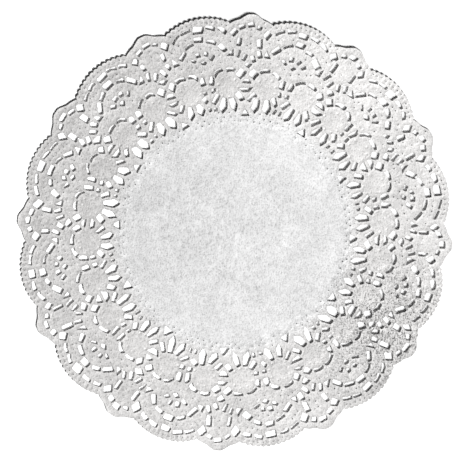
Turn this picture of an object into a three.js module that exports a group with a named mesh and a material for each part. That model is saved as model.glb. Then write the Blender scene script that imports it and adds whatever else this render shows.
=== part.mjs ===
// Paper lace doily: one round die-cut sheet with a plain centre, an openwork border and a scalloped edge.
// Millimetres, +Z up, underside on z = 0, centre at the origin, a small lobe on each of +X, +Y, -X and -Y.
import * as THREE from 'three';

// Driving dimensions.
const REPEATS = 12; // one large scallop and one small lobe in each
const LOBE_TIP_RADIUS = 127; // a 10 inch doily, measured over opposite lobes
const NOTCH_RADIUS = 121.5; // where a scallop meets a lobe
const SCALLOP_CREST_RADIUS = 126.5; // to the tips of the teeth
const SHEET_THICKNESS = 1;

// Edge of the sheet.
const SCALLOP_HALF_ANGLE = 8.9; // degrees from a scallop's middle line to its notch
const TEETH_PER_SCALLOP = 13;
const TOOTH_HEIGHT = 0.8;
const LOBE_STEPS = 14;
const LOBE_CROWN_HEIGHT = 0.5; // of the lobe's height is its round crown, the rest its shoulders
const LOBE_CROWN_SLOPE = [0.1, 0.6]; // from its flat top to its foot, in halves of the lobe's width

const PAPER = { color: 0xe2e1e0, roughness: 0.9, metalness: 0 };

// Corners of each kind of hole, in halves of its width (across) and height (outward).
const HOLE_FORMS = {
  block: [[-1, -1], [1, -1], [1, 1], [-1, 1]],
  diamond: [[0, -1], [1, 0.1], [0, 1], [-1, 0.1]],
  petal: [[0, -1], [1, -0.25], [0.6, 1], [-0.6, 1], [-1, -0.25]],
  gable: [[-1, -1], [0.8, -1], [1, 0.3], [0.3, 1], [-0.6, 1]],
  chevron: [[0, -1], [1, 0.3], [0.3, 1], [-0.3, 1], [-1, 0.3]],
  bowl: [[-1, 0.8], [-0.45, -1], [0.45, -1], [1, 0.8]],
};

// The larger holes of half a repeat. Angle is in degrees from the scallop's middle line, radius is from the
// doily's centre, and lean turns a hole's outer end away from the scallop's middle line, in degrees.
const HOLES = [
  { name: 'scallop_outer_window', form: 'block', angle: 0, radius: 119.8, width: 5.7, height: 3.8, lean: 0 },
  { name: 'scallop_inner_window', form: 'block', angle: 0, radius: 113.9, width: 5.7, height: 3.7, lean: 0 },
  { name: 'notch_diamond', form: 'diamond', angle: 10.2, radius: 115.8, width: 6, height: 6.8, lean: 0 },
  { name: 'lobe_side_slot', form: 'block', angle: 11.8, radius: 110.5, width: 2.9, height: 5.8, lean: 4 },
  { name: 'arch_brick', form: 'block', angle: 6.4, radius: 107.4, width: 3, height: 6.2, lean: -42 },
  { name: 'fan_middle_slot', form: 'block', angle: 11.45, radius: 103.9, width: 2.5, height: 4.8, lean: 22 },
  { name: 'fan_outer_slot', form: 'block', angle: 13.6, radius: 101.8, width: 2.5, height: 4.9, lean: 28 },
  { name: 'lobe_chevron', form: 'chevron', angle: 15, radius: 96.8, width: 6.2, height: 4.3, lean: 0 },
  { name: 'lobe_diamond', form: 'diamond', angle: 12.9, radius: 92.1, width: 6, height: 6.3, lean: 0 },
  { name: 'scallop_gable', form: 'gable', angle: 1.65, radius: 89.2, width: 3.6, height: 5.5, lean: 0 },
  { name: 'lobe_bowl', form: 'bowl', angle: 15, radius: 83.1, width: 7.2, height: 3.5, lean: 0 },
  { name: 'scallop_leaf', form: 'block', angle: 2.3, radius: 78.6, width: 2.9, height: 5.6, lean: 42 },
  { name: 'lobe_leaf', form: 'block', angle: 12.7, radius: 78.6, width: 2.9, height: 5.6, lean: -42 },
  { name: 'scallop_petal', form: 'petal', angle: 5.2, radius: 74.1, width: 4.8, height: 8.3, lean: 13 },
  { name: 'lobe_petal', form: 'petal', angle: 10, radius: 74, width: 4.7, height: 7.9, lean: -13 },
];

const REPEAT_ANGLE = (2 * Math.PI) / REPEATS;
const FIRST_SCALLOP_ANGLE = REPEAT_ANGLE / 2;
const radians = THREE.MathUtils.degToRad;

function polar(radius, angle) {
  return new THREE.Vector2(radius * Math.cos(angle), radius * Math.sin(angle));
}

// One scallop is an arc through its two notches and its crest, broken into small pointed teeth.
function scallopPoints(middleAngle) {
  const halfAngle = radians(SCALLOP_HALF_ANGLE);
  const arcCrest = SCALLOP_CREST_RADIUS - TOOTH_HEIGHT;
  const halfChord = NOTCH_RADIUS * Math.sin(halfAngle);
  const rise = arcCrest - NOTCH_RADIUS * Math.cos(halfAngle);
  const arcRadius = (halfChord ** 2 + rise ** 2) / (2 * rise);
  const arcCentre = polar(arcCrest - arcRadius, middleAngle);
  const arcHalfAngle = Math.asin(halfChord / arcRadius);
  const points = [];
  for (let step = 0; step <= 2 * TEETH_PER_SCALLOP; step += 1) {
    const turn = arcHalfAngle * (step / TEETH_PER_SCALLOP - 1);
    const reach = arcRadius + (step % 2 === 1 ? TOOTH_HEIGHT : 0);
    points.push(polar(reach, middleAngle + turn).add(arcCentre));
  }
  return points;
}

// The small lobe between two scallops is a round crown on shoulders that run down into both notches.
function lobePoints(middleAngle) {
  const halfAngle = REPEAT_ANGLE / 2 - radians(SCALLOP_HALF_ANGLE);
  const points = [];
  for (let step = 1; step < LOBE_STEPS; step += 1) {
    const across = (2 * step) / LOBE_STEPS - 1;
    const crown = 1 - THREE.MathUtils.smoothstep(Math.abs(across), ...LOBE_CROWN_SLOPE);
    const shoulders = 1 - Math.abs(across) ** 3;
    const height = crown * LOBE_CROWN_HEIGHT + shoulders * (1 - LOBE_CROWN_HEIGHT);
    const radius = NOTCH_RADIUS + (LOBE_TIP_RADIUS - NOTCH_RADIUS) * height;
    points.push(polar(radius, middleAngle + halfAngle * across));
  }
  return points;
}

function edgePoints() {
  const points = [];
  for (let repeat = 0; repeat < REPEATS; repeat += 1) {
    const scallopAngle = FIRST_SCALLOP_ANGLE + repeat * REPEAT_ANGLE;
    points.push(...scallopPoints(scallopAngle));
    points.push(...lobePoints(scallopAngle + REPEAT_ANGLE / 2));
  }
  return points;
}

// A hole at its place beside the scallop's middle line; side is +1 or -1 for the hole and its mirror twin.
function holePath(hole, scallopAngle, side) {
  const centreAngle = scallopAngle + side * radians(hole.angle);
  const centre = polar(hole.radius, centreAngle);
  const lean = radians(hole.lean);
  const corners = HOLE_FORMS[hole.form].map(([across, outward]) => {
    const x = (across * hole.width) / 2;
    const y = (outward * hole.height) / 2;
    const sideways = side * (x * Math.cos(lean) + y * Math.sin(lean));
    const up = y * Math.cos(lean) - x * Math.sin(lean);
    return new THREE.Vector2(up, sideways).rotateAround(new THREE.Vector2(), centreAngle).add(centre);
  });
  return new THREE.Path(corners);
}

function holePaths() {
  const paths = [];
  for (let repeat = 0; repeat < REPEATS; repeat += 1) {
    const scallopAngle = FIRST_SCALLOP_ANGLE + repeat * REPEAT_ANGLE;
    for (const hole of HOLES) {
      const onMirrorLine = hole.angle % (180 / REPEATS) === 0;
      const sides = onMirrorLine ? [1] : [1, -1];
      for (const side of sides) {
        paths.push(holePath(hole, scallopAngle, side));
      }
    }
  }
  return paths;
}

function makeDoily() {
  const outline = new THREE.Shape(edgePoints());
  outline.holes = holePaths();
  const geometry = new THREE.ExtrudeGeometry(outline, { depth: SHEET_THICKNESS, bevelEnabled: false });
  const doily = new THREE.Mesh(geometry, new THREE.MeshStandardMaterial(PAPER));
  doily.name = 'doily';
  return doily;
}

const object = new THREE.Group();
object.add(makeDoily());

export default object;
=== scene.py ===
"""A round paper-lace doily laid on a white floor: plain middle, stamped openwork border and scalloped edge.

The lace is charted for half of one repeat and laid out twelve times, each cut a little different, as a worn
die and soft paper leave them. Chart lengths are millimetres and fit a doily whose lobe tips are
LOBE_TIP_RADIUS from its centre; the CAD box gives the real size. The chart's angles are in degrees from a
scallop's middle line, and a direction's are in degrees from +X.
"""
import math
from collections import namedtuple

import bpy
import numpy as np
from mathutils import Matrix, Vector, kdtree, noise
from mathutils.geometry import delaunay_2d_cdt


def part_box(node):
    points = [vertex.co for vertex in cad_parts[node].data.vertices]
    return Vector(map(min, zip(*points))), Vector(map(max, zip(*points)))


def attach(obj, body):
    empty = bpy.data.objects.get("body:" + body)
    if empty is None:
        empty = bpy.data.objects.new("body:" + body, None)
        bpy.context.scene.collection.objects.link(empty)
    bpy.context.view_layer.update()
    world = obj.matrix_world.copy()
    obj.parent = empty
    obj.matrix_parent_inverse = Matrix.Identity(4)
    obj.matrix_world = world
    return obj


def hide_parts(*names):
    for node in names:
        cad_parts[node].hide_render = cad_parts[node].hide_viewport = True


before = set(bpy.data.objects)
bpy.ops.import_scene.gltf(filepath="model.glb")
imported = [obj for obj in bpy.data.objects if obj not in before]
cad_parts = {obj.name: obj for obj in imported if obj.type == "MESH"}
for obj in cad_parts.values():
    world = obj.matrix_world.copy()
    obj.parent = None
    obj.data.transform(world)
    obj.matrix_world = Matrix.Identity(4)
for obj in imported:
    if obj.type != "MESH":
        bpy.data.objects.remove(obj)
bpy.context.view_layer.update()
SEED = 12

# Outline of the sheet.
REPEATS = 12
LOBE_TIP_RADIUS = 127.0
NOTCH_RADIUS = 121.5
CREST_RADIUS = 126.5
SCALLOP_HALF_ANGLE = 8.9
TEETH = 13
TOOTH_HEIGHT = 0.8
TOOTH_ROUNDNESS = 0.7
POINTS_PER_TOOTH = 6
LOBE_POINTS = 30
LOBE_CROWN_HEIGHT = 0.5
LOBE_CROWN_SLOPE = (0.1, 0.6)

# Corners of each kind of cut, in halves of its width (across) and height (outward).
FORMS = {
    "block": [(-1, -1), (1, -1), (1, 1), (-1, 1)],
    "diamond": [(0, -1), (1, 0.1), (0, 1), (-1, 0.1)],
    "petal": [(0, -1), (1, -0.25), (0.6, 1), (-0.6, 1), (-1, -0.25)],
    "gable": [(-1, -1), (0.8, -1), (1, 0.3), (0.3, 1), (-0.6, 1)],
    "chevron": [(0, -1), (1, 0.3), (0.3, 1), (-0.3, 1), (-1, 0.3)],
    "wedge": [(-1, -0.9), (0.95, -1), (0.7, 1)],
    "tent": [(-1, -1), (1, -1), (0.2, 1), (-0.2, 1)],
    "cap": [(-1, -0.8), (1, -0.8), (0.4, 1), (-0.4, 1)],
    "bowl": [(-1, 0.8), (-0.45, -1), (0.45, -1), (1, 0.8)],
}

# The cuts of half a repeat. Lean turns a cut's outer end away from the scallop's middle line, and bow lifts
# the middle of its long sides outward.
Cut = namedtuple("Cut", "name form angle radius width height lean bow")
CUTS = [
    Cut("scallop outer window", "block", 0, 119.8, 5.7, 3.8, 0, 0),
    Cut("scallop outer slot 1", "block", 3.6, 120.1, 5.9, 2.1, 15, 0.2),
    Cut("scallop outer slot 2", "block", 6.8, 118.2, 5.8, 2.1, 28, 0.2),
    Cut("scallop inner window", "block", 0, 113.9, 5.7, 3.7, 0, 0),
    Cut("arch slot", "block", 3.5, 111.6, 5.7, 2.2, 23, 0.2),
    Cut("arch brick", "block", 6.4, 107.4, 3.0, 6.2, -42, 0),
    Cut("notch diamond", "diamond", 10.2, 115.8, 6.0, 6.8, 0, 0),
    Cut("lobe window", "block", 15, 121.1, 4.7, 2.8, 0, 0),
    Cut("lobe corner", "block", 12.5, 119.2, 3.6, 2.7, -19, 0),
    Cut("lobe side slot", "block", 11.8, 110.5, 2.9, 5.8, 4, 0),
    Cut("fan inner wedge", "wedge", 8.8, 104.7, 4.4, 4.8, 0, 0),
    Cut("fan middle slot", "block", 11.45, 103.9, 2.5, 4.8, 22, 0),
    Cut("fan outer slot", "block", 13.6, 101.8, 2.5, 4.9, 28, 0),
    Cut("flower upper petal", "block", 1.15, 105.0, 2.7, 2.9, 12, 0),
    Cut("flower side petal", "block", 3.05, 102.5, 3.6, 2.0, -37, 0),
    Cut("flower lower petal", "diamond", 0, 100.3, 4.4, 3.6, 0, 0),
    Cut("lobe chevron", "chevron", 15, 96.8, 6.2, 4.3, 0, 0),
    Cut("lobe diamond", "diamond", 12.9, 92.1, 6.0, 6.3, 0, 0),
    Cut("medallion slot near", "block", 4.45, 93.6, 6.3, 2.2, -30, 0.45),
    Cut("medallion slot far", "block", 9.0, 94.6, 6.0, 2.2, 11, 0.35),
    Cut("scallop gable", "gable", 1.65, 89.2, 3.6, 5.5, 0, 0),
    Cut("scallop square", "block", 1.6, 83.4, 2.8, 3.0, 0, 0),
    Cut("lobe cap", "cap", 15, 87.9, 6.4, 3.0, 0, 0),
    Cut("lobe bowl", "bowl", 15, 83.1, 7.2, 3.5, 0, 0),
    Cut("scallop leaf", "block", 2.3, 78.6, 2.9, 5.6, 42, 0),
    Cut("lobe leaf", "block", 12.7, 78.6, 2.9, 5.6, -42, 0),
    Cut("scallop petal", "petal", 5.2, 74.0, 4.5, 9.0, 13, 0),
    Cut("lobe petal", "petal", 10.0, 73.9, 4.4, 8.6, -13, 0),
    Cut("scallop pip", "block", 1.4, 72.8, 1.8, 2.5, 0, 0),
    Cut("lobe tent", "tent", 15, 69.4, 5.5, 4.2, 0, 0),
]

# How far one cut strays from the chart: standard deviations, in millimetres, degrees or shares of its size.
STRAY_SHIFT = 0.2
STRAY_TURN = 4.5
STRAY_SIZE = 0.08
STRAY_CORNER = 0.26
STRAY_EDGE = 0.07
FARTHEST_CORNER = 0.42
CUT_SIZE = 1.04

# A cut's corner is rounded over this share of each side, up to a limit. Its edge has a point at every step.
CORNER_SHARE = 0.24
CORNER_LIMIT = 0.6
CORNER_STEPS = 2
CUT_EDGE_STEP = 0.95

# Cuts that leave a strand thinner than this between them shrink, round by round. Edges are measured at
# points that lie CHECK_STEP apart.
THINNEST_STRAND = 0.5
CHECK_STEP = 0.3
SHRINK = 0.97
SHRINK_ROUNDS = 18

# Dots of the stamping, in half a repeat: some are pricked through, the others only dented.
Dot = namedtuple("Dot", "angle radius")
DOTS = [
    Dot(0, 108.9),
    Dot(0, 96.6),
    Dot(15, 117.6),
    Dot(15, 113.8),
    Dot(15, 109.6),
    Dot(2.9, 108.1),
    Dot(5.3, 103.4),
    Dot(2.6, 98.4),
    Dot(5.2, 99.3),
    Dot(7.6, 100.4),
    Dot(10.4, 99.0),
    Dot(3.5, 76.0),
    Dot(7.6, 69.8),
    Dot(7.6, 73.4),
    Dot(12.2, 71.6),
    Dot(2.9, 70.6),
]
SCATTERED_DOTS = 1400
SCATTERED_SPAN = (92.0, 125.0)
PRICKED_SHARE = 0.75
PRICK_RADII = (0.27, 0.48)
PRICK_LEAN = 0.15
PRICK_UNEVENNESS = (0.8, 1.2)
PRICK_SIDES = 6
DENT_RADIUS = 0.75
DENT_RINGS = (0.5, 1.0)
DENT_MARGIN = 1.3
DENT_DEPTH = 0.42
DENT_DEPTH_SHARES = (0.4, 1.2)
DENT_SIDES = 6
DOT_STRAY = 0.2
DOT_SPACING = 3 * DENT_RADIUS
PRICK_CLEARANCE = 1.0
CHARTED_CLEARANCE = 1.1
DENT_CLEARANCE = DENT_RADIUS + 0.1
TOOTH_DOT_INSET = 1.75
BAND_DOT_INSET = 8.9
BAND_DOT_PITCH = 2.75
BAND_DOTS = 15
MEDALLION_ANGLE = 7.5
MEDALLION_RADIUS = 84.7
MEDALLION_DOT_RING = 6.0
MEDALLION_DOTS = 9
INNER_DOT_RINGS = (65.0, 67.3)
INNER_DOTS_PER_REPEAT = 9

# Heights over the floor. LACE_HEIGHTS and DROOPS are for the low and the lifted side of the border.
PAPER_THICKNESS = 0.16
MIDDLE_HEIGHT = 0.12
LACE_HEIGHTS = (1.0, 1.46)
LIFT_SPAN = (15.0, 84.0)
DROOPS = (0.6, 0.3)
DROOP_SPAN = (110.0, 126.0)
LIFT_DIRECTION = 26.0
LIFT_BLEND = 0.45
LOWEST_HEIGHT = 0.03
Wave = namedtuple("Wave", "height crests start")
RIM_WAVES = [Wave(0.1, 3, 0.7), Wave(0.1, 5, 2.1), Wave(0.06, 7, 4.0)]
Layer = namedtuple("Layer", "height wavelength offset")
ROLLS = [Layer(0.16, 34.0, 1.7), Layer(0.1, 15.0, 5.2)]
ROLLS_IN_MIDDLE = 0.5

# Relief of the stamped paper over a plain sheet. It begins over STAMPED_SPAN, in radius.
STAMPED_SPAN = (63.0, 67.5)
CRUMPLES = [Layer(0.08, 5.0, 9.1), Layer(0.04, 2.2, 3.3)]
CRUMPLES_IN_MIDDLE = 0.35
CRUMPLE_BASE = 0.16
DOME_HEIGHT = 0.22
DOME_RADIUS = 7.6
BURR_HEIGHT = 0.18
BURR_WIDTH = 0.6
RIB_HEIGHT = 0.16
RIB_FADE = (2.4, 4.4)

# Colour of the plain and of the stamped paper, and the span of radius over which one turns into the other.
# The stamped paper's darker colour is painted shade, for the small shadows of its stamping.
PAPER_COLOUR = (0.825, 0.824, 0.825)
STAMPED_COLOUR_WITH_SHADE = (0.752, 0.742, 0.735)
STAMPED_SHADE_SPAN = (64.0, 75.0)
# Soft areas of painted light and painted shade, where the paper is made lighter or greyer; strength is a
# share of the paper's colour.
Tone = namedtuple("Tone", "x y reach strength")
PAINTED_LIGHT_AND_SHADE = [
    Tone(55, 95, 90, 0.17),
    Tone(-55, 15, 75, -0.08),
    Tone(108, -75, 80, -0.15),
    Tone(0, -65, 60, 0.04),
]
# One area of the border has coarser grain and is darker; the darkening is painted shade.
ROUGH_PLACE = (91.0, -48.0, 0.0)
ROUGH_RADIUS = 58.0
ROUGH_COARSENESS = 1.7
ROUGH_PAINTED_SHADE = -0.1

# Unevenness of the paper: size is crests per millimetre, and tone is how much it changes the colour.
Furnish = namedtuple("Furnish", "size detail roughness tone")
CLOUDS = Furnish(0.05, 2.0, 0.5, 0.35)
PATCHES = Furnish(0.3, 3.0, 0.6, 0.45)
GRAIN = Furnish(1.1, 3.0, 0.65, 1.35)
FIBRES = Furnish(0.8, 3.0, 0.65, 0.95)
FIBRE_STRETCH = (2.0, 0.6, 1.0)
LIGHTEST_SPECK = 0.09
SPECK_SOFTNESS = 0.12

# Felt-like bump: its depth in millimetres, and how much of each unevenness goes into it.
BUMP_DEPTH = 0.3
GRAIN_BUMP = 0.6
FIBRE_BUMP = 0.4
PATCH_BUMP = 0.3
STAMPED_PATCH_BUMP = 0.9

PAPER_ROUGHNESS = 0.92
PAPER_SPECULAR = 0.2

# Inner points of the mesh: how far they stray and how far they keep from an edge, in spacings, then the
# spacings themselves and the radii where the finer ones begin.
POINT_STRAY = 0.12
EDGE_CLEARANCE = 0.45
MERGING_DISTANCE = 1e-7
LACE_SPACING = 0.87
RIM_SPACING = 1.4
MIDDLE_SPACING = 2.3
UNDERSIDE_SPACING = 2.6
FINE_START = 64.0
RIM_START = 58.0

# Floor and light, in metres. FLOOR_SEEN is the colour that the camera sees, on the low and on the lifted
# side, and FLOOR_LIT is the colour that lights the doily. The lamp is turned aside, towards KEY_AIM, which
# narrows its disk as the paper sees it.
FLOOR_SIZE = 8.0
FLOOR_SEEN = (1.5, 1.06)
FLOOR_SEEN_SPAN = (-0.05, 0.05)
FLOOR_LIT = 0.6
FLOOR_DIMMING = 0.8
FILL_STRENGTH = 0.02
KEY_AZIMUTH = -41.0
KEY_ELEVATION = 38.0
KEY_DISTANCE = 2.5
KEY_SIZE = 0.85
KEY_POWER = 156.0
KEY_AIM = (0.6, 12.0, 0.0)

# Camera, in degrees and metres: it leans VIEW_TILT from straight above towards VIEW_AZIMUTH, and VIEW_ROLL
# turns it about its axis.
VIEW_TILT = 11.8
VIEW_AZIMUTH = -38.9
VIEW_ROLL = -4.04
VIEW_WIDTH = 0.26375
VIEW_DISTANCE = 0.6
VIEW_SHIFT_RIGHT = -0.00368
VIEW_SHIFT_UP = 0.00219


def polar(radius, angle):
    return np.stack([radius * np.cos(angle), radius * np.sin(angle)], -1)


def smoothstep(low, high, value):
    share = np.clip((value - low) / (high - low), 0, 1)
    return share * share * (3 - 2 * share)


def scallop_arc():
    """Radius, centre distance and half angle of the arc that a scallop's tooth roots lie on."""
    half = math.radians(SCALLOP_HALF_ANGLE)
    root_crest = CREST_RADIUS - TOOTH_HEIGHT
    half_chord = NOTCH_RADIUS * math.sin(half)
    rise = root_crest - NOTCH_RADIUS * math.cos(half)
    radius = (half_chord**2 + rise**2) / (2 * rise)
    return radius, root_crest - radius, math.asin(half_chord / radius)


def scallop_edge(middle):
    radius, centre, half = scallop_arc()
    share = np.linspace(0, 1, TEETH * POINTS_PER_TOOTH + 1)
    tooth = np.abs(np.sin(math.pi * TEETH * share)) ** TOOTH_ROUNDNESS
    return polar(centre, middle) + polar(radius + TOOTH_HEIGHT * tooth, middle + half * (2 * share - 1))


def lobe_edge(middle):
    half = math.pi / REPEATS - math.radians(SCALLOP_HALF_ANGLE)
    across = np.linspace(-1, 1, LOBE_POINTS + 1)[1:-1]
    crown = 1 - smoothstep(*LOBE_CROWN_SLOPE, np.abs(across))
    height = crown * LOBE_CROWN_HEIGHT + (1 - np.abs(across) ** 3) * (1 - LOBE_CROWN_HEIGHT)
    return polar(NOTCH_RADIUS + (LOBE_TIP_RADIUS - NOTCH_RADIUS) * height, middle + half * across)


def scallop_middles():
    return [2 * math.pi * (repeat + 0.5) / REPEATS for repeat in range(REPEATS)]


def outline():
    pieces = []
    for middle in scallop_middles():
        pieces.append(scallop_edge(middle))
        pieces.append(lobe_edge(middle + math.pi / REPEATS))
    return np.vstack(pieces)


def sides_of(angle):
    """A cut or dot on a mirror line is there once, any other has a mirror twin."""
    return (1,) if angle % (180 / REPEATS) == 0 else (1, -1)


def bowed(corners, cut):
    """Corners with the middle of each long side added, all of it bowed outward."""
    points = []
    for here, there in zip(corners, np.roll(corners, -1, 0)):
        points.append(here - [0, cut.bow])
        if abs(there[0] - here[0]) > cut.width / 2:
            points.append((here + there) / 2 + [0, cut.bow])
    return np.array(points)


def cut_corners(cut, middle, side, stray):
    size = np.array([cut.width, cut.height]) / 2 * stray.normal(CUT_SIZE, STRAY_SIZE, 2)
    corners = np.array(FORMS[cut.form]) * size
    if cut.bow:
        corners = bowed(corners, cut)
    offsets = stray.normal(0, STRAY_CORNER, corners.shape)
    corners = corners + np.clip(offsets, -FARTHEST_CORNER, FARTHEST_CORNER)
    lean = math.radians(cut.lean + stray.normal(0, STRAY_TURN))
    across, outward = corners.T
    sideways = side * (across * math.cos(lean) + outward * math.sin(lean))
    out = outward * math.cos(lean) - across * math.sin(lean)
    angle = middle + side * math.radians(cut.angle)
    centre = polar(cut.radius, angle) + stray.normal(0, STRAY_SHIFT, 2)
    placed = centre + out[:, None] * polar(1, angle) + sideways[:, None] * polar(1, angle + math.pi / 2)
    return placed[::side]


def rounded(corners):
    before = np.roll(corners, 1, 0) - corners
    after = np.roll(corners, -1, 0) - corners
    to_before = np.linalg.norm(before, axis=1, keepdims=True)
    to_after = np.linalg.norm(after, axis=1, keepdims=True)
    start = corners + before * np.minimum(CORNER_SHARE, CORNER_LIMIT / to_before)
    end = corners + after * np.minimum(CORNER_SHARE, CORNER_LIMIT / to_after)
    turns = [
        (1 - t) ** 2 * start + 2 * t * (1 - t) * corners + t * t * end
        for t in np.linspace(0, 1, CORNER_STEPS + 1)
    ]
    return np.stack(turns, 1).reshape(-1, 2)


def resampled(loop, step):
    points = []
    for here, there in zip(loop, np.roll(loop, -1, 0)):
        count = max(1, round(np.linalg.norm(there - here) / step))
        points.append(here + (there - here) * np.arange(count)[:, None] / count)
    return np.vstack(points)


def tree_of(points):
    tree = kdtree.KDTree(len(points))
    for index, (x, y) in enumerate(points):
        tree.insert((x, y, 0), index)
    tree.balance()
    return tree


def tight_loops(loops):
    """Numbers of the cuts that come closer than the thinnest strand to another loop."""
    loops = [resampled(loop, CHECK_STEP) for loop in loops]
    points = np.vstack(loops)
    owner = np.repeat(np.arange(len(loops)), [len(loop) for loop in loops])
    tree = tree_of(points)
    tight = set()
    for index, (x, y) in enumerate(points):
        near = tree.find_range((x, y, 0), THINNEST_STRAND)
        if any(owner[other] != owner[index] for _, other, _ in near):
            tight.add(owner[index])
    return tight - {0}


def cut_loops(stray):
    """The outline first, then every cut, all of them closed loops clear of each other."""
    loops = [outline()]
    for middle in scallop_middles():
        for cut in CUTS:
            for side in sides_of(cut.angle):
                loop = resampled(rounded(cut_corners(cut, middle, side, stray)), CUT_EDGE_STEP)
                loops.append(loop + stray.normal(0, STRAY_EDGE, loop.shape))
    for _ in range(SHRINK_ROUNDS):
        tight = tight_loops(loops)
        for index in tight:
            centre = loops[index].mean(0)
            loops[index] = centre + (loops[index] - centre) * SHRINK
        if not tight:
            break
    return loops


def dot_places():
    """Centres of the dots: the pricked rows, those that may be pricked or dented, and the dented rings."""
    rows, charted, rings = [], [], []
    radius, centre, half = scallop_arc()
    band_radius = radius - BAND_DOT_INSET
    for middle in scallop_middles():
        arc_centre = polar(centre, middle)
        turns = half * (2 * np.arange(TEETH) + 1 - TEETH) / TEETH
        rows.extend(arc_centre + polar(radius - TOOTH_DOT_INSET, middle + turns))
        turns = (np.arange(BAND_DOTS) - (BAND_DOTS - 1) / 2) * BAND_DOT_PITCH / band_radius
        charted.extend(arc_centre + polar(band_radius, middle + turns))
        for dot in DOTS:
            for side in sides_of(dot.angle):
                charted.append(polar(dot.radius, middle + side * math.radians(dot.angle)))
        for side in (1, -1):
            medallion = polar(MEDALLION_RADIUS, middle + side * math.radians(MEDALLION_ANGLE))
            turns = middle + 2 * math.pi * (np.arange(MEDALLION_DOTS) + 0.5) / MEDALLION_DOTS
            rings.extend(medallion + polar(MEDALLION_DOT_RING, turns))
        for row, ring in enumerate(INNER_DOT_RINGS):
            steps = np.arange(INNER_DOTS_PER_REPEAT) + row / 2
            turns = 2 * math.pi / REPEATS * steps / INNER_DOTS_PER_REPEAT
            charted.extend(polar(ring, middle + turns))
    return np.array(rows), np.array(charted), np.array(rings)


def scattered_places(stray):
    radii = np.sqrt(stray.uniform(SCATTERED_SPAN[0] ** 2, SCATTERED_SPAN[1] ** 2, SCATTERED_DOTS))
    return polar(radii, stray.uniform(0, 2 * math.pi, SCATTERED_DOTS))


def clear_dots(places, loops, kept, reach):
    """Dots that fit on the paper clear of every cut, and of the dots already kept."""
    places = on_paper(places, loops)
    places = places[distances(places, tree_of(np.vstack(loops))) > reach]
    clear = []
    for place in places:
        if all(math.dist(place, other) > DOT_SPACING for other in kept + clear):
            clear.append(place)
    return clear


def pricked_and_dented(loops, stray):
    """Splits the dots that have room into pricked and dented ones."""
    rows, charted, rings = (places + stray.normal(0, DOT_STRAY, places.shape) for places in dot_places())
    pricked = clear_dots(rows, loops, [], PRICK_CLEARANCE)
    either = clear_dots(charted, loops, pricked, CHARTED_CLEARANCE)
    either += clear_dots(scattered_places(stray), loops, pricked + either, PRICK_CLEARANCE)
    through = stray.uniform(size=len(either)) < PRICKED_SHARE
    pricked += [place for place, is_through in zip(either, through) if is_through]
    dented = [place for place, is_through in zip(either, through) if not is_through]
    dented += clear_dots(rings, loops, pricked + dented, DENT_CLEARANCE)
    return np.array(pricked), np.array(dented)


def prick_loops(pricked, stray):
    turns = 2 * math.pi * np.arange(PRICK_SIDES) / PRICK_SIDES
    loops = []
    for place in pricked:
        toward = math.cos(math.atan2(place[1], place[0]) - math.radians(LIFT_DIRECTION))
        radius = stray.uniform(*PRICK_RADII) * (1 + PRICK_LEAN * toward)
        radii = radius * stray.uniform(*PRICK_UNEVENNESS, PRICK_SIDES)
        loops.append(place + polar(radii, turns))
    return loops


def inside(points, loop):
    """Which of the points lie inside a closed loop."""
    x, y = points.T
    result = np.zeros(len(points), bool)
    for (x0, y0), (x1, y1) in zip(loop, np.roll(loop, -1, 0)):
        if y0 != y1:
            crosses = (y0 > y) != (y1 > y)
            result ^= crosses & (x < x0 + (y - y0) * (x1 - x0) / (y1 - y0))
    return result


def hexagonal(spacing, stray):
    rows = np.arange(-LOBE_TIP_RADIUS, LOBE_TIP_RADIUS, spacing * math.sqrt(3) / 2)
    columns = np.arange(-LOBE_TIP_RADIUS, LOBE_TIP_RADIUS, spacing)
    x, y = np.meshgrid(columns, rows)
    x[1::2] += spacing / 2
    points = np.stack([x.ravel(), y.ravel()], 1)
    return points + stray.uniform(-POINT_STRAY, POINT_STRAY, points.shape) * spacing


def distances(points, tree):
    return np.array([tree.find((x, y, 0))[2] for x, y in points])


def on_paper(points, loops):
    keep = inside(points, loops[0])
    for loop in loops[1:]:
        centre = loop.mean(0)
        reach = np.linalg.norm(loop - centre, axis=1).max()
        near = np.flatnonzero(np.linalg.norm(points - centre, axis=1) < reach)
        keep[near[inside(points[near], loop)]] = False
    return points[keep]


def fill_points(loops, edge_tree, bands, stray):
    """Inner points of one face of the sheet; bands are (from radius, to radius, spacing)."""
    found = []
    for low, high, spacing in bands:
        points = hexagonal(spacing, stray)
        radius = np.hypot(*points.T)
        points = on_paper(points[(radius >= low) & (radius < high)], loops)
        found.append(points[distances(points, edge_tree) > spacing * EDGE_CLEARANCE])
    return np.vstack(found)


def triangles_between(loops, inner):
    """Triangles that cover the sheet: they join the loops' points, then the inner points, in that order."""
    edge_points = np.vstack(loops)
    points = np.vstack([edge_points, inner])
    owner = np.repeat(np.arange(len(loops)), [len(loop) for loop in loops])
    owner = np.append(owner, -1 - np.arange(len(inner)))
    starts = np.cumsum([0] + [len(loop) for loop in loops])
    edges = []
    for start, end in zip(starts, starts[1:]):
        edges.extend((index, index + 1) for index in range(start, end - 1))
        edges.append((end - 1, start))
    vectors = [Vector(point) for point in points]
    found, _, faces, *_ = delaunay_2d_cdt(vectors, edges, [], 0, MERGING_DISTANCE, False)
    if len(found) != len(points):
        raise ValueError("two cuts cross each other")
    faces = np.array([tuple(face) for face in faces])
    a, b, c = (points[faces[:, corner]] for corner in range(3))
    turn = (b[:, 0] - a[:, 0]) * (c[:, 1] - a[:, 1]) - (b[:, 1] - a[:, 1]) * (c[:, 0] - a[:, 0])
    faces[turn < 0] = faces[turn < 0][:, ::-1]
    same = (owner[faces[:, 0]] == owner[faces[:, 1]]) & (owner[faces[:, 1]] == owner[faces[:, 2]])
    keep = np.ones(len(faces), bool)
    centres = points[faces].mean(1)
    for index, loop in enumerate(loops):
        own = np.flatnonzero(same & (owner[faces[:, 0]] == index))
        within = inside(centres[own], loop)
        keep[own[within != (index == 0)]] = False
    return faces[keep]


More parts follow.
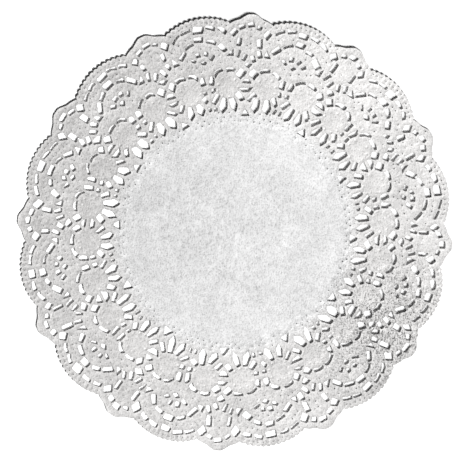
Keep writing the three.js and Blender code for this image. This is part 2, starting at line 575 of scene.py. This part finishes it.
def noise_at(points, layers):
    """Sum of smooth noise in layers of their own height and wavelength."""
    return sum(
        layer.height * np.array([
            noise.noise((x / layer.wavelength, y / layer.wavelength, layer.offset))
            for x, y in points
        ])
        for layer in layers
    )


def drape(points):
    """Height of the sheet's underside over the floor."""
    radius = np.hypot(*points.T)
    angle = np.arctan2(points[:, 1], points[:, 0])
    lace = smoothstep(*LIFT_SPAN, radius)
    rim = np.clip(radius / LOBE_TIP_RADIUS, 0, 1) ** 3
    toward = np.cos(angle - math.radians(LIFT_DIRECTION))
    low, high = LACE_HEIGHTS
    lift = smoothstep(-LIFT_BLEND, LIFT_BLEND, toward)
    lifted = low + (high - low) * lift
    waves = sum(wave.height * np.sin(wave.crests * angle + wave.start) for wave in RIM_WAVES)
    rolled = ROLLS_IN_MIDDLE + (1 - ROLLS_IN_MIDDLE) * lace
    height = MIDDLE_HEIGHT + (lifted - MIDDLE_HEIGHT) * lace + rim * waves
    most, least = DROOPS
    height -= (most + (least - most) * lift) * smoothstep(*DROOP_SPAN, radius)
    return np.maximum(height + noise_at(points, ROLLS) * rolled, LOWEST_HEIGHT)


def ribs(points):
    """Short ribs that run in from every tooth of the scallops."""
    height = np.zeros(len(points))
    radius, centre, half = scallop_arc()
    for middle in scallop_middles():
        off = points - polar(centre, middle)
        inset = radius - np.hypot(*off.T)
        turn = (np.arctan2(off[:, 1], off[:, 0]) - middle + math.pi) % (2 * math.pi) - math.pi
        near = (np.abs(turn) < half) & (inset < RIB_FADE[1])
        share = (turn / half + 1) / 2 * TEETH
        height += near * np.sin(math.pi * share) ** 2 * (1 - smoothstep(*RIB_FADE, inset))
    return RIB_HEIGHT * height


def relief(points, edge_tree, dents, dent_depths):
    """Height of the stamped upper face over a plain sheet."""
    radius = np.hypot(*points.T)
    lace = smoothstep(*STAMPED_SPAN, radius)
    burr = BURR_HEIGHT * np.exp(-((distances(points, edge_tree) / BURR_WIDTH) ** 2))
    crumpled = CRUMPLES_IN_MIDDLE + (1 - CRUMPLES_IN_MIDDLE) * lace
    crumple = CRUMPLE_BASE + noise_at(points, CRUMPLES) * crumpled
    domes = np.zeros(len(points))
    for middle in scallop_middles():
        for side in (1, -1):
            centre = polar(MEDALLION_RADIUS, middle + side * math.radians(MEDALLION_ANGLE))
            off = np.linalg.norm(points - centre, axis=1) / DOME_RADIUS
            domes += DOME_HEIGHT * np.clip(1 - off**2, 0, 1)
    dented = np.zeros(len(points))
    tree = tree_of(dents)
    for index, (x, y) in enumerate(points):
        _, nearest, off = tree.find((x, y, 0))
        if off < DENT_RADIUS:
            dented[index] = dent_depths[nearest] * math.cos(math.pi / 2 * off / DENT_RADIUS)
    return np.maximum(burr + crumple + domes + ribs(points) - dented, 0)


def dent_points(dents):
    turns = 2 * math.pi * np.arange(DENT_SIDES) / DENT_SIDES
    rings = [dents[:, None] + polar(DENT_RADIUS * share, turns)[None] for share in DENT_RINGS]
    return np.vstack([dents] + [ring.reshape(-1, 2) for ring in rings])


def wall_faces(loops, under_start):
    """Quads down every cut edge, from the upper face's loops to the underside's."""
    walls = []
    start = 0
    for loop in loops:
        here = start + np.arange(len(loop))
        there = start + np.roll(np.arange(len(loop)), -1)
        walls.append(np.column_stack([there, here, here + under_start, there + under_start]))
        start += len(loop)
    return np.vstack(walls)


def sharpen_cut_edges(mesh, walls):
    """Keeps the corner sharp where a face of the sheet meets the wall of a cut."""
    ends = np.zeros(2 * len(mesh.edges), int)
    mesh.edges.foreach_get("vertices", ends)
    ends = ends.reshape(-1, 2)
    following = np.full(len(mesh.vertices), -1)
    following[np.concatenate([walls[:, 1], walls[:, 2]])] = np.concatenate([walls[:, 0], walls[:, 3]])
    cut_edge = (following[ends[:, 0]] == ends[:, 1]) | (following[ends[:, 1]] == ends[:, 0])
    mesh.edges.foreach_set("use_edge_sharp", cut_edge)


def build_sheet(millimetre, lift):
    """The whole sheet as one closed mesh: stamped upper face, plain underside and cut walls."""
    stray = np.random.RandomState(SEED)
    loops = cut_loops(stray)
    pricked, dents = pricked_and_dented(loops, stray)
    dent_depths = DENT_DEPTH * stray.uniform(*DENT_DEPTH_SHARES, len(dents))
    loops += prick_loops(pricked, stray)
    edge_points = np.vstack(loops)
    edge_tree = tree_of(edge_points)
    dense_tree = tree_of(np.vstack([resampled(loop, CHECK_STEP) for loop in loops]))

    upper_bands = [
        (0, RIM_START, MIDDLE_SPACING),
        (RIM_START, FINE_START, RIM_SPACING),
        (FINE_START, LOBE_TIP_RADIUS, LACE_SPACING),
    ]
    upper = fill_points(loops, edge_tree, upper_bands, stray)
    upper = upper[distances(upper, tree_of(dents)) > DENT_RADIUS * DENT_MARGIN]
    upper = np.vstack([upper, dent_points(dents)])
    under = fill_points(loops, edge_tree, [(0, LOBE_TIP_RADIUS, UNDERSIDE_SPACING)], stray)

    upper_xy = np.vstack([edge_points, upper])
    under_xy = np.vstack([edge_points, under])
    upper_z = drape(upper_xy) + PAPER_THICKNESS + relief(upper_xy, dense_tree, dents, dent_depths)
    under_z = drape(under_xy)
    vertices = np.vstack([np.column_stack([upper_xy, upper_z]), np.column_stack([under_xy, under_z])])

    upper_faces = triangles_between(loops, upper)
    under_faces = triangles_between(loops, under)[:, ::-1] + len(upper_xy)
    walls = wall_faces(loops, len(upper_xy))
    print("sheet:", len(loops) - 1 - len(pricked), "cuts,", len(pricked), "pricks,", len(dents), "dents,",
          len(upper_faces) + len(under_faces) + 2 * len(walls), "triangles")

    mesh = bpy.data.meshes.new("doily_sheet")
    faces = upper_faces.tolist() + under_faces.tolist() + walls.tolist()
    mesh.from_pydata((vertices * millimetre + [0, 0, lift]).tolist(), [], faces)
    mesh.polygons.foreach_set("use_smooth", np.ones(len(faces), bool))
    sharpen_cut_edges(mesh, walls)
    mesh.validate()
    mesh.update()
    return mesh


def paper_area(mesh):
    """Area of one face of the sheet, seen from above, in square metres."""
    count = len(mesh.polygons)
    areas = np.zeros(count)
    normals = np.zeros(3 * count)
    mesh.polygons.foreach_get("area", areas)
    mesh.polygons.foreach_get("normal", normals)
    return float((areas * np.clip(normals.reshape(-1, 3)[:, 2], 0, 1)).sum())


class Nodes:
    """Adds shader nodes to one node tree and links them."""

    def __init__(self, owner):
        owner.use_nodes = True
        self.tree = owner.node_tree
        self.tree.nodes.clear()

    def add(self, kind, inputs=None, **settings):
        node = self.tree.nodes.new(kind)
        for key, value in settings.items():
            setattr(node, key, value)
        for key, value in (inputs or {}).items():
            if isinstance(value, bpy.types.NodeSocket):
                self.tree.links.new(value, node.inputs[key])
            else:
                node.inputs[key].default_value = value
        return node

    def math(self, operation, *values):
        return self.add("ShaderNodeMath", dict(enumerate(values)), operation=operation).outputs[0]

    def measure(self, operation, *vectors):
        """One number from vectors: a length, a distance or a dot product."""
        node = self.add("ShaderNodeVectorMath", dict(enumerate(vectors)), operation=operation)
        return node.outputs["Value"]

    def scaled(self, vector, factor):
        inputs = {0: vector, "Scale": factor}
        return self.add("ShaderNodeVectorMath", inputs, operation="SCALE").outputs[0]

    def noise(self, vector, furnish):
        return self.add("ShaderNodeTexNoise", {
            "Vector": vector,
            "Scale": furnish.size,
            "Detail": furnish.detail,
            "Roughness": furnish.roughness,
        }).outputs["Fac"]

    def ramp(self, value, source, target):
        """Value carried smoothly from the source range to the target range."""
        inputs = {
            "Value": value,
            "From Min": source[0],
            "From Max": source[1],
            "To Min": target[0],
            "To Max": target[1],
        }
        return self.add("ShaderNodeMapRange", inputs, interpolation_type="SMOOTHSTEP").outputs["Result"]

    def spread(self, value, weight):
        """How far a noise is from its mean of one half, times a weight."""
        return self.math("MULTIPLY_ADD", value, weight, -weight / 2)

    def seen(self):
        """1 for rays from the camera, a mirror or glass, and 0 for rays that carry light between surfaces."""
        path = self.add("ShaderNodeLightPath").outputs
        either = self.math("MAXIMUM", path["Is Camera Ray"], path["Is Glossy Ray"])
        return self.math("MAXIMUM", either, path["Is Transmission Ray"])


def paper_material(millimetre):
    """Uncoated embossed paper: clouds, patches, grain and fibres in its tone, soft areas of painted light and
    shade, painted shade on the stamped border and over one rough area, and a felt-like bump.
    """
    paper = bpy.data.materials.new("paper")
    nodes = Nodes(paper)
    place = nodes.add("ShaderNodeTexCoord").outputs["Object"]
    in_mm = nodes.scaled(place, 1 / millimetre)
    clouds = nodes.noise(in_mm, CLOUDS)
    patches = nodes.noise(in_mm, PATCHES)
    grain = nodes.noise(in_mm, GRAIN)
    along = nodes.add("ShaderNodeMapping", {"Vector": in_mm, "Scale": FIBRE_STRETCH}).outputs[0]
    fibres = nodes.noise(along, FIBRES)
    from_centre = nodes.measure("LENGTH", in_mm)
    stamped = nodes.ramp(from_centre, STAMPED_SPAN, (0, 1))
    stamped_shade_share = nodes.ramp(from_centre, STAMPED_SHADE_SPAN, (0, 1))

    from_rough = nodes.measure("DISTANCE", in_mm, ROUGH_PLACE)
    rough_and_shaded = nodes.ramp(from_rough, (0, ROUGH_RADIUS), (1, 0))
    rough_and_shaded = nodes.math("MULTIPLY", stamped, rough_and_shaded)
    coarseness = nodes.math("MULTIPLY", rough_and_shaded, ROUGH_COARSENESS)
    fine = nodes.math("ADD", nodes.spread(grain, GRAIN.tone), nodes.spread(fibres, FIBRES.tone))
    fine = nodes.math("SMOOTH_MIN", fine, LIGHTEST_SPECK, SPECK_SOFTNESS)
    shade = nodes.math("MULTIPLY_ADD", fine, coarseness, fine)
    shade = nodes.math("ADD", shade, nodes.spread(patches, PATCHES.tone))
    shade = nodes.math("ADD", shade, nodes.spread(clouds, CLOUDS.tone))
    # Painted shade over the rough area.
    shade = nodes.math("MULTIPLY_ADD", rough_and_shaded, ROUGH_PAINTED_SHADE, shade)
    # Painted light and painted shade, in soft areas.
    for tone in PAINTED_LIGHT_AND_SHADE:
        away = nodes.measure("DISTANCE", in_mm, (tone.x, tone.y, 0))
        shade = nodes.math("ADD", shade, nodes.ramp(away, (0, tone.reach), (tone.strength, 0)))
    # Plain paper colour turning into the stamped colour, whose darkness is painted shade for the stamping's
    # small shadows.
    paper_with_stamped_shade = nodes.add("ShaderNodeVectorMath", {
        0: stamped_shade_share,
        1: Vector(STAMPED_COLOUR_WITH_SHADE) - Vector(PAPER_COLOUR),
        2: PAPER_COLOUR,
    }, operation="MULTIPLY_ADD").outputs[0]
    brightness = nodes.math("ADD", shade, 1)
    colour = nodes.scaled(paper_with_stamped_shade, brightness)

    patch_bump = nodes.math("MULTIPLY_ADD", stamped, STAMPED_PATCH_BUMP, PATCH_BUMP)
    felt = nodes.math("MULTIPLY", patches, patch_bump)
    felt = nodes.math("MULTIPLY_ADD", fibres, FIBRE_BUMP, felt)
    felt = nodes.math("MULTIPLY_ADD", grain, GRAIN_BUMP, felt)
    bump = nodes.add("ShaderNodeBump", {"Height": felt, "Distance": BUMP_DEPTH * millimetre})
    surface = nodes.add("ShaderNodeBsdfPrincipled", {
        "Base Color": colour,
        "Roughness": PAPER_ROUGHNESS,
        "Specular IOR Level": PAPER_SPECULAR,
        "Normal": bump.outputs[0],
    })
    nodes.add("ShaderNodeOutputMaterial", {"Surface": surface.outputs[0]})
    return paper


def make_doily():
    low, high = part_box("doily")
    millimetre = (high.x - low.x) / 2 / LOBE_TIP_RADIUS
    mesh = build_sheet(millimetre, low.z)
    doily = bpy.data.objects.new("lace_doily", mesh)
    bpy.context.scene.collection.objects.link(doily)
    mesh.materials.append(paper_material(millimetre))
    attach(doily, "root")
    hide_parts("doily")
    paper_area(mesh)
    return doily


def floor_material():
    """White to the camera as far as the floor goes: the colour it sees makes up for the lamp's falling off.

    That colour is also brighter on the side where the paper lies low, so shadows look fainter there.
    """
    white = bpy.data.materials.new("floor_white")
    nodes = Nodes(white)
    place = nodes.add("ShaderNodeTexCoord").outputs["Object"]
    from_centre = nodes.measure("LENGTH", place)
    dimming = nodes.math("DIVIDE", from_centre, FLOOR_DIMMING)
    dimming = nodes.math("MULTIPLY", dimming, dimming)
    lift = math.radians(LIFT_DIRECTION)
    toward_lift = (math.cos(lift), math.sin(lift), 0)
    along = nodes.measure("DOT_PRODUCT", place, toward_lift)
    shown = nodes.ramp(along, FLOOR_SEEN_SPAN, FLOOR_SEEN)
    shown = nodes.math("MULTIPLY_ADD", dimming, shown, shown)
    shown = nodes.math("SUBTRACT", shown, FLOOR_LIT)
    colour = nodes.math("MULTIPLY_ADD", nodes.seen(), shown, FLOOR_LIT)
    surface = nodes.add("ShaderNodeBsdfDiffuse", {"Color": colour})
    nodes.add("ShaderNodeOutputMaterial", {"Surface": surface.outputs[0]})
    return white


def make_floor(height):
    half = FLOOR_SIZE / 2
    corners = [(-half, -half, height), (half, -half, height), (half, half, height), (-half, half, height)]
    mesh = bpy.data.meshes.new("floor")
    mesh.from_pydata(corners, [], [(0, 1, 2, 3)])
    mesh.materials.append(floor_material())
    floor = bpy.data.objects.new("floor", mesh)
    bpy.context.scene.collection.objects.link(floor)


def make_world():
    """White to the camera, and a faint even fill on the object."""
    world = bpy.data.worlds.new("studio")
    bpy.context.scene.world = world
    nodes = Nodes(world)
    strength = nodes.math("MULTIPLY_ADD", nodes.seen(), 1 - FILL_STRENGTH, FILL_STRENGTH)
    background = nodes.add("ShaderNodeBackground", {"Color": (1, 1, 1, 1), "Strength": strength})
    nodes.add("ShaderNodeOutputWorld", {"Surface": background.outputs[0]})


def make_lamp():
    """One soft lamp, from the lower right of the camera's view."""
    azimuth = math.radians(KEY_AZIMUTH)
    elevation = math.radians(KEY_ELEVATION)
    ground = KEY_DISTANCE * math.cos(elevation)
    height = KEY_DISTANCE * math.sin(elevation)
    place = Vector((ground * math.cos(azimuth), ground * math.sin(azimuth), height))
    data = bpy.data.lights.new("key", "AREA")
    data.shape = "DISK"
    data.size = KEY_SIZE
    data.energy = KEY_POWER
    lamp = bpy.data.objects.new("key", data)
    lamp.location = place
    lamp.rotation_euler = (Vector(KEY_AIM) - place).to_track_quat("-Z", "Y").to_euler()
    bpy.context.scene.collection.objects.link(lamp)


def make_camera():
    azimuth = math.radians(VIEW_AZIMUTH)
    tilt = math.radians(VIEW_TILT)
    roll = math.radians(VIEW_ROLL)
    toward = Vector((math.cos(azimuth), math.sin(azimuth), 0))
    across = Vector((-toward.y, toward.x, 0))
    back = Vector((0, 0, math.cos(tilt))) + toward * math.sin(tilt)
    leaning = toward * math.cos(tilt) - Vector((0, 0, math.sin(tilt)))
    turn = azimuth + roll
    right = leaning * math.cos(turn) - across * math.sin(turn)
    up = leaning * math.sin(turn) + across * math.cos(turn)
    data = bpy.data.cameras.new("camera")
    data.type = "ORTHO"
    data.ortho_scale = VIEW_WIDTH
    camera = bpy.data.objects.new("camera", data)
    place = right * VIEW_SHIFT_RIGHT + up * VIEW_SHIFT_UP + back * VIEW_DISTANCE
    camera.matrix_world = Matrix.Translation(place) @ Matrix((right, up, back)).transposed().to_4x4()
    bpy.context.scene.collection.objects.link(camera)
    bpy.context.scene.camera = camera


make_doily()
make_floor(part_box("doily")[0].z)
make_world()
make_lamp()
make_camera()
bpy.context.scene.view_settings.view_transform = "Standard"
